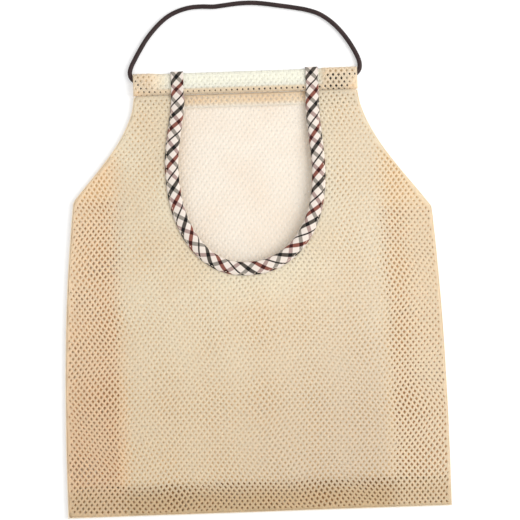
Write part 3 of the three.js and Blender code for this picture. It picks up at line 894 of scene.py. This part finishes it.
def casing_thickness(x):
    """Flat over the strip, and as full as round the cord past the strip's two ends."""
    left = 1 - smoothly(x, STRIP_LOW.x - GAP, STRIP_LOW.x - GAP + CASING_EASE)
    right = smoothly(x, STRIP_HIGH.x + GAP - CASING_EASE, STRIP_HIGH.x + GAP)
    return CASING_FLAT + (CASING_FULL - CASING_FLAT) * max(left, right)


def casing_section(thick, inset):
    """The sleeve cut across: round the cord, up to its flat part, then round the top edge."""
    round_half = CASING_FULL / 2
    made = []
    for i in range(BULGE_STEPS + 1):
        turn = BULGE_TURN * i / BULGE_STEPS
        made.append(Vector((0, CASING_LOW.y + round_half, round_half)) + Vector(
            (0, -math.sin(turn), -math.cos(turn))) * (round_half - inset))
    made.append(Vector((0, CASING_LOW.y + BULGE_REACH, thick - inset)))
    for level, quarter in ((thick - CASING_CORNER, 0), (CASING_CORNER, 1)):
        for i in range(CORNER_STEPS + 1):
            turn = math.pi / 2 * (quarter + i / CORNER_STEPS)
            made.append(Vector((0, CASING_HIGH.y - CASING_CORNER, level)) + Vector(
                (0, math.sin(turn), math.cos(turn))) * (CASING_CORNER - inset))
    return made + made[:1]


casing_lines = {}


def casing_drape(x, around):
    """Walks round the section of the sleeve."""
    thick = round(casing_thickness(x), THICK_PLACES)
    if thick not in casing_lines:
        casing_lines[thick] = even(casing_section(thick, CLOTH / 2), CASING_STEP)
    line = casing_lines[thick]
    place = (around / casing_round + ROW_SHIFT) % 1 * (len(line) - 1)
    low = min(int(place), len(line) - 2)
    spot = line[low].lerp(line[low + 1], place - low)
    return Vector((x, spot.y, spot.z))


STRIP_EDGE = (STRIP_LOW.y - 0.0008, STRIP_LOW.y + 0.0012)
STRIP_LEFT = (STRIP_LOW.x - 0.008, STRIP_LOW.x + 0.024)
STRIP_RIGHT = (STRIP_HIGH.x, STRIP_HIGH.x - 0.008)
BELOW_STRIP = (STRIP_LOW.y, STRIP_LOW.y - 0.002)


def painted_light_over_strip(place, colour):
    """Painted light: the yarn that lies over the white strip is painted white, for the strip's
    light showing through it, and the yarn below the strip is painted a little deeper."""
    across, height = part_of(place, 0), part_of(place, 1)
    white = height.step(*STRIP_EDGE) * across.step(*STRIP_LEFT) * across.step(*STRIP_RIGHT)
    colour = height.step(*BELOW_STRIP).mix(colour, shade(254, 237, 209))
    # Painted light: the strip's white showing through the yarn over it.
    return white.mix(colour, shade(255, 254, 245))


casing_finish = net_finish("net_hem", shade(254, 243, 222), shade(252, 238, 214), painted_light_over_strip)


def casing_trim(x, y):
    """The sleeve closes on itself: half a row past one edge meets the row at the other."""
    if abs(y - HOLE_ALONG / 4) > casing_round / 2 + HOLE_ALONG / 3:
        return None
    return clamp(x, -HEM_HALF, HEM_HALF), y


LEFT_END, OVER_KNOT, PAST_KNOT = (0.078, 0.094), (0.07, 0.08), (0.089, 0.096)
CORD_ROW, CORD_RIGHT = (0.001, 0.002), (-0.05, 0.03)
OPEN_HEM, OPEN_LEFT = 0.58, 0.22
OPEN_KNOT, LESS_PAST_KNOT = 0.52, 0.24
OPEN_CORD, OPEN_CORD_RIGHT = 0.1, 0.22


def open_at_ends(x, around):
    """The knit stands open at the ends, most over the knot on the right, and round the cord."""
    over_knot = smoothly(x, *OVER_KNOT) * (OPEN_KNOT - LESS_PAST_KNOT * smoothly(x, *PAST_KNOT))
    over_cord = 1 - smoothly(abs(around + 2 * HOLE_ALONG), *CORD_ROW)
    round_cord = (OPEN_CORD + OPEN_CORD_RIGHT * smoothly(x, *CORD_RIGHT)) * over_cord
    return OPEN_HEM + max(smoothly(-x, *LEFT_END) * OPEN_LEFT, over_knot, round_cord)


casing = net(
    "casing_net", (-HEM_HALF, -casing_round / 2), (HEM_HALF, casing_round / 2), casing_trim,
    casing_drape, casing_finish, None, STRAND, open_at_ends)
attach(casing, "bag")
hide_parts("top_casing")


# Binding: a bias tape of checked cotton folded over the cut edge of the mouth, 12.4 mm wide.
# Its ends run on over the casing and fold down behind the top edge of the bag.
LEAF_RISE = CLOTH / 2 + GAP + TAPE_LEAF / 2
LEAF_PUFF = 0.0009
END_THICK = 0.001
END_BEND = CASING_CORNER + GAP + END_THICK / 2 - LEAF_RISE
TAPE_STEP = 0.0016
TAPE_ACROSS = 22
TAPE_CUT = 2 * (TAPE_WIDTH - LEAF_RISE) + LEAF_RISE * math.pi
BEND_Y = CASING_HIGH.y - CASING_CORNER
BEND_Z = CASING_FLAT - CASING_CORNER
BEND_CLEAR = 0.001
TAPE_END_Z = CLOTH
ONTO_PANEL = (-0.0035, 0.007)
WRAP_EASE = 0.0015


def tape_level(point):
    """Level that the tape is folded about: over the casing, then along the front panel."""
    bulge = smoothly(CASING_LOW.y + BULGE_REACH - point.y, 0, BULGE_REACH - CASING_FULL / 2)
    casing_top = CASING_FLAT + (CASING_FULL - CASING_FLAT) * bulge
    over_casing = casing_top + GAP + END_THICK / 2 - LEAF_RISE
    on_panel = smoothly(PANEL_TOP - point.y, *ONTO_PANEL)
    return over_casing + (front_level(point.x, point.y) - over_casing) * on_panel


def tape_end(side):
    """Stations from the bag's back over the top edge, up to where the tape lies flat."""
    spot = mouth_spot(side, 0)
    made = [(Vector((spot.x, BEND_Y + END_BEND, TAPE_END_Z)), Vector((0, 1, 0)))]
    for i in range(CORNER_STEPS + 1):
        turn = math.pi / 2 * (1 - i / CORNER_STEPS)
        up = Vector((0, math.sin(turn), math.cos(turn)))
        made.append((Vector((spot.x, BEND_Y, BEND_Z)) + up * END_BEND, up))
    return [(point, Vector((side, 0, 0)), up) for point, up in made]


flat_part = [
    (Vector((point.x, point.y, tape_level(point))), away(mouth, i), Vector((0, 0, 1)))
    for i, point in enumerate(mouth) if point.y < BEND_Y - BEND_CLEAR]
stations = tape_end(-1) + flat_part + tape_end(1)[::-1]
tape_reach = reaches([point + up * LEAF_RISE for point, _, up in stations])
TAPE_LENGTH = tape_reach[-1]


def tape_station(along):
    """Point, outward and upward direction at a length along the tape."""
    low, high = 0, len(stations) - 1
    while high - low > 1:
        middle = (low + high) // 2
        if tape_reach[middle] <= along:
            low = middle
        else:
            high = middle
    share = (along - tape_reach[low]) / (tape_reach[high] - tape_reach[low])
    point, outward, up = (one.lerp(two, share) for one, two in zip(stations[low], stations[high]))
    return point, outward.normalized(), up.normalized()


def tape_section(cut):
    """Reach from the fold, and rise, of a place across the cut tape, from its upper edge."""
    straight = TAPE_WIDTH - LEAF_RISE
    if cut <= straight:
        reach = TAPE_WIDTH - cut
        return reach, LEAF_RISE + LEAF_PUFF * math.sin(math.pi * reach / TAPE_WIDTH)
    turn = (cut - straight) / LEAF_RISE
    if turn <= math.pi:
        return LEAF_RISE * (1 - math.sin(turn)), LEAF_RISE * math.cos(turn)
    return LEAF_RISE + cut - straight - LEAF_RISE * math.pi, -LEAF_RISE


tape_mesh = bmesh.new()
tape_mesh.loops.layers.uv.new("weave")
leaf = tape_mesh.verts.layers.deform.verify()
bmesh.ops.create_grid(
    tape_mesh, x_segments=round(TAPE_LENGTH / TAPE_STEP), y_segments=TAPE_ACROSS, size=1,
    calc_uvs=True)
spare = set()
for vert in tape_mesh.verts:
    point, outward, up = tape_station((vert.co.x + 1) / 2 * TAPE_LENGTH)
    cut = (vert.co.y + 1) / 2 * TAPE_CUT
    wrapped = smoothly(PANEL_TOP - point.y, -WRAP_EASE, WRAP_EASE)
    reach, rise = tape_section(cut)
    reach = (TAPE_WIDTH - cut) + (reach - TAPE_WIDTH + cut) * wrapped
    rise = LEAF_RISE + (rise - LEAF_RISE) * wrapped
    if point.y > PANEL_TOP - 2 * GAP and cut > TAPE_WIDTH:
        spare.add(vert)
    vert[leaf][0] = 1 - (1 - TAPE_LEAF / END_THICK) * wrapped
    vert.co = point + outward * (reach - TAPE_WIDTH / 2) + up * rise
bmesh.ops.delete(tape_mesh, geom=list(spare), context="VERTS")
bmesh.ops.recalc_face_normals(tape_mesh, faces=tape_mesh.faces)

WARP_TURN, WEFT_TURN = math.radians(40), math.radians(43)
WARP_PERIOD, WARP_START = 0.0371, 0.0069
WEFT_PERIOD, WEFT_START = 0.0276, 0.0088
WIDE_BAND, THIN_BAND = 0.0035, 0.0014
BAND_EDGE = 0.0002
TAPE_EASE = 0.004
TAPE_ROUND, LEAF_CURVE = 1.05, 0.9
TAPE_SPECKLE = 0.02
tape_finish = finish_named("tape_check", Roughness=0.85, Specular_IOR_Level=0.15)
weave = tape_finish.node("UVMap", {"uv_map": "weave"})
along, across = part_of(weave, 0), part_of(weave, 1)
wave = along * (2 * math.pi)
along = along * TAPE_LENGTH + wave.math("SINE", wave) * TAPE_EASE
leaves = across * (TAPE_CUT / TAPE_WIDTH)
under_leaf = leaves.math("FLOOR", leaves)
curve = ((leaves - under_leaf) * 2 - 1) * LEAF_CURVE
outward = curve.math("ARCSINE", curve) + under_leaf * (2 * math.asin(LEAF_CURVE))
outward = outward * (-TAPE_WIDTH / 2 * TAPE_ROUND)


def band(turn, period, centre, width):
    """1 on a woven stripe that crosses the tape at that turn and comes back at each period."""
    place = along - outward / math.tan(turn) - centre
    from_middle = abs((place + period / 2) % period - period / 2) * abs(math.sin(turn))
    return from_middle.step(width / 2 + BAND_EDGE, width / 2 - BAND_EDGE)


colour = shade(230, 218, 207)
under = 0
for centre, dye in ((0, shade(146, 138, 128)), (0.5, shade(168, 143, 136))):
    crossed = band(-WEFT_TURN, WEFT_PERIOD, WEFT_START + WEFT_PERIOD * centre, WIDE_BAND)
    colour = crossed.mix(colour, dye)
    under = crossed.most(under)
for centre, width, dye, deep in (
        (0, WIDE_BAND, shade(76, 69, 62), shade(6, 3, 2)),
        (0.35, WIDE_BAND, shade(132, 78, 66), shade(56, 10, 6)),
        (0.67, THIN_BAND, shade(44, 33, 29), shade(10, 5, 4))):
    crossed = band(WARP_TURN, WARP_PERIOD, WARP_START + WARP_PERIOD * centre, width)
    colour = crossed.mix(colour, under.mix(dye, deep))
threads = tape_finish.node("TexNoise", inputs={
    "Vector": tape_finish.node("TexCoord", output="Object"), "Scale": 2400, "Detail": 3})
tape_finish.feed(
    Base_Color=(threads.step(0.3, 0.8) * TAPE_SPECKLE).mix(colour, (1, 1, 1, 1)),
    Normal=tape_finish.node("Bump", inputs={
        "Height": threads, "Distance": 0.0002, "Strength": 0.5}))

tape = piece("mouth_tape", tape_mesh, tape_finish)
tape.vertex_groups.new(name="leaf")
wall = tape.modifiers.new("thickness", "SOLIDIFY")
wall.thickness = END_THICK
wall.offset = 0
wall.vertex_group = "leaf"
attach(tape, "bag")
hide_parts("opening_binding")


# Tape stitching: a row of lockstitches through both leaves of the tape, near its outer edge.
# Each stitch is a short length of cream thread that dips into the cloth at both ends.
STITCH, STITCH_PITCH = 0.0026, 0.0032
THREAD = 0.0005
STITCH_INSET = 0.0014
STITCH_SIDES = 6
thread_finish = finish_named("sewing_thread", Roughness=0.7)
thread_place = thread_finish.node("TexCoord", output="Object")
twist = thread_finish.node("TexNoise", inputs={
    "Vector": thread_place, "Scale": 3000, "Detail": 2})
thread_finish.feed(
    Base_Color=twist.step(0.3, 0.7).mix(shade(238, 224, 202), shade(222, 204, 178)),
    Normal=thread_finish.node("Bump", inputs={
        "Height": twist, "Distance": 0.0001, "Strength": 0.5}))

stitches = bmesh.new()
for i in range(int(TAPE_LENGTH / STITCH_PITCH)):
    middle = (i + 0.5) * STITCH_PITCH
    point, outward, up = tape_station(middle)
    if point.y > PANEL_TOP - TAPE_WIDTH:
        continue
    reach, rise = tape_section(STITCH_INSET)
    spot = point + outward * (reach - TAPE_WIDTH / 2) + up * (rise + TAPE_LEAF / 2)
    turned = Matrix((outward, outward.cross(up), up)).transposed().to_4x4()
    shape = Matrix.Diagonal((THREAD / 2, STITCH / 2, THREAD / 2, 1))
    bmesh.ops.create_uvsphere(
        stitches, u_segments=STITCH_SIDES, v_segments=STITCH_SIDES, radius=1,
        matrix=Matrix.Translation(spot) @ turned @ shape)
stitch_row = piece("tape_stitches", stitches, thread_finish)
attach(stitch_row, "bag")
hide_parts("binding_stitch")


# Sewn edges: overlocked seams that join the pleats to the two panels, down both sides and along
# the base. Loops of thread wrap the trimmed edges into a narrow ribbed cord.
SEAM_WIDE = 0.001
LOOP_PITCH = 0.0014
SEAM_STEP = LOOP_PITCH / 4
SEAM_SIDES, SEAM_ROWS = 8, 120
RIB = 0.16


def overlocked(width, height):
    """Radii of an overlocked seam, with a rib for each loop of its thread."""
    def radii(along, around):
        ridge = 0.5 + 0.5 * math.cos(2 * math.pi * (along / LOOP_PITCH + around))
        size = 1 - RIB + RIB * ridge
        return width / 2 * size, height / 2 * size, 1 - ridge
    return radii


seam_finish = net_finish("seam_thread", shade(254, 246, 230), shade(252, 241, 221))
for layer in ("back", "front"):
    for name in ("left", "right", "base"):
        node = f"{name}_{layer}_seam"
        low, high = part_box(node)
        level, height = (low[2] + high[2]) / 2, high[2] - low[2]
        if name == "base":
            ends = [Vector((x, low[1] + SEAM_WIDE / 2, level)) for x in (low[0], high[0])]
            line = even(ends, SEAM_STEP)
        else:
            side = -1 if name == "left" else 1
            rise = high[1] - low[1]
            heights = [low[1] + rise * i / SEAM_ROWS for i in range(SEAM_ROWS + 1)]
            line = even([
                Vector((side * (half_width(side, y) - SEAM_WIDE / 2), y, level)) for y in heights],
                SEAM_STEP)
        seam_mesh = tube(line, SEAM_SIDES, overlocked(SEAM_WIDE, height))
        seam = piece(f"{name}_{layer}_overlock", seam_mesh, seam_finish)
        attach(seam, "bag")
        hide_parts(node)
